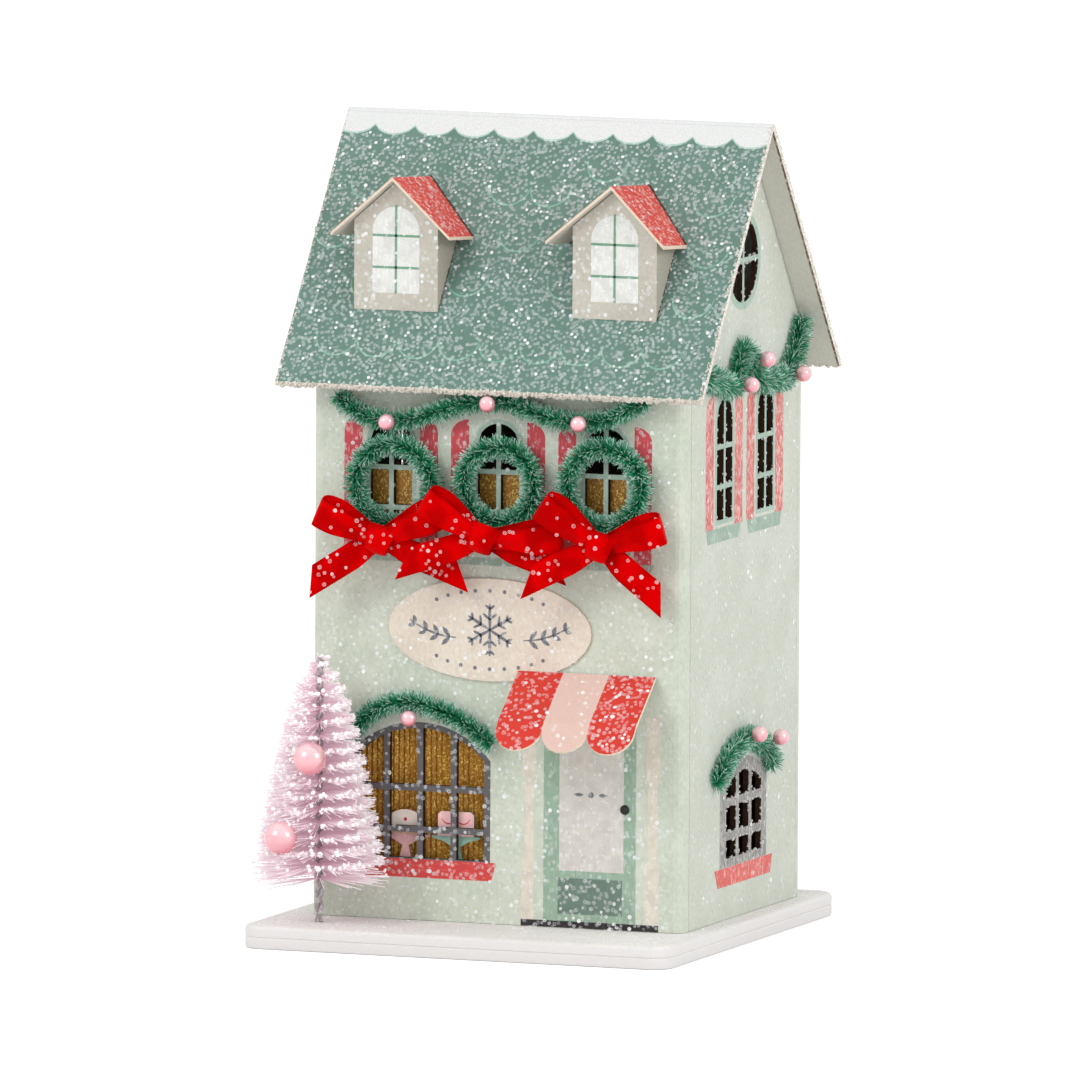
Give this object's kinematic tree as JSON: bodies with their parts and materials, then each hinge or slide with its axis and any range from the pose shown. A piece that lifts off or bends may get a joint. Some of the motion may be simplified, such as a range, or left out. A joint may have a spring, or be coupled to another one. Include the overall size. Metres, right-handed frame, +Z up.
{
  "type": "christmas village house",
  "caption": "Tall glued card bake shop for a holiday village, with dormers, wreaths, satin bows, garlands, a striped awning and a bottle-brush tree on a flat base.",
  "frame": {"origin": "centre of the base board's underside", "axes": "+Z up, the shop front faces -Y, +X is to the right of the front"},
  "size_m": [0.1162, 0.125, 0.2],
  "materials": {
    "sage_card": "matte flocked sage paper over card",
    "roof_card": "matte sage-teal printed paper with white flakes",
    "base_card": "white glitter over thick card",
    "dormer_card": "greige speckled paper",
    "dormer_roof_card": "coral red paper with white flakes, cream underside",
    "awning_card": "coral red and pale pink stripes, cream cut edges",
    "sign_card": "cream speckled card",
    "gold_card": "grained gold paper card",
    "pink_cake_card": "printed cream and pink card",
    "mint_cake_card": "printed pale mint and pink card",
    "red_satin": "red satin ribbon",
    "green_chenille": "emerald chenille with frosted tips",
    "pearl": "pearly pink gloss",
    "twisted_wire": "bare twisted grey wire",
    "lilac_bristle": "lilac pink bristle with white flock",
    "black_stud": "black domed stud"
  },
  "bodies": {
    "root": {"base_board": "base_card", "front_wall": "sage_card", "back_wall": "sage_card", "left_wall": "sage_card", "right_wall": "sage_card", "roof_front": "roof_card", "roof_back": "roof_card", "left_dormer_body": "dormer_card", "left_dormer_roof": "dormer_roof_card", "right_dormer_body": "dormer_card", "right_dormer_roof": "dormer_roof_card", "awning": "awning_card", "sign_plate": "sign_card", "door_knob": "black_stud", "upper_gold_card": "gold_card", "shop_gold_card": "gold_card", "left_cake": "pink_cake_card", "right_cake": "mint_cake_card", "wreath_left": "green_chenille", "wreath_middle": "green_chenille", "wreath_right": "green_chenille", "bow_left": "red_satin", "bow_middle": "red_satin", "bow_right": "red_satin", "eave_garland": "green_chenille", "eave_bead_1": "pearl", "eave_bead_2": "pearl", "eave_bead_3": "pearl", "shop_garland": "green_chenille", "shop_bead_1": "pearl", "right_upper_garland": "green_chenille", "right_upper_bead_1": "pearl", "right_upper_bead_2": "pearl", "right_upper_bead_3": "pearl", "right_lower_garland": "green_chenille", "right_lower_bead_1": "pearl", "right_lower_bead_2": "pearl", "left_upper_garland": "green_chenille", "left_upper_bead_1": "pearl", "left_upper_bead_2": "pearl", "left_upper_bead_3": "pearl", "left_lower_garland": "green_chenille", "left_lower_bead_1": "pearl", "left_lower_bead_2": "pearl", "tree_wire": "twisted_wire", "tree_brush": "lilac_bristle", "tree_bead_upper": "pearl", "tree_bead_lower": "pearl"}
  },
  "joints": []
}
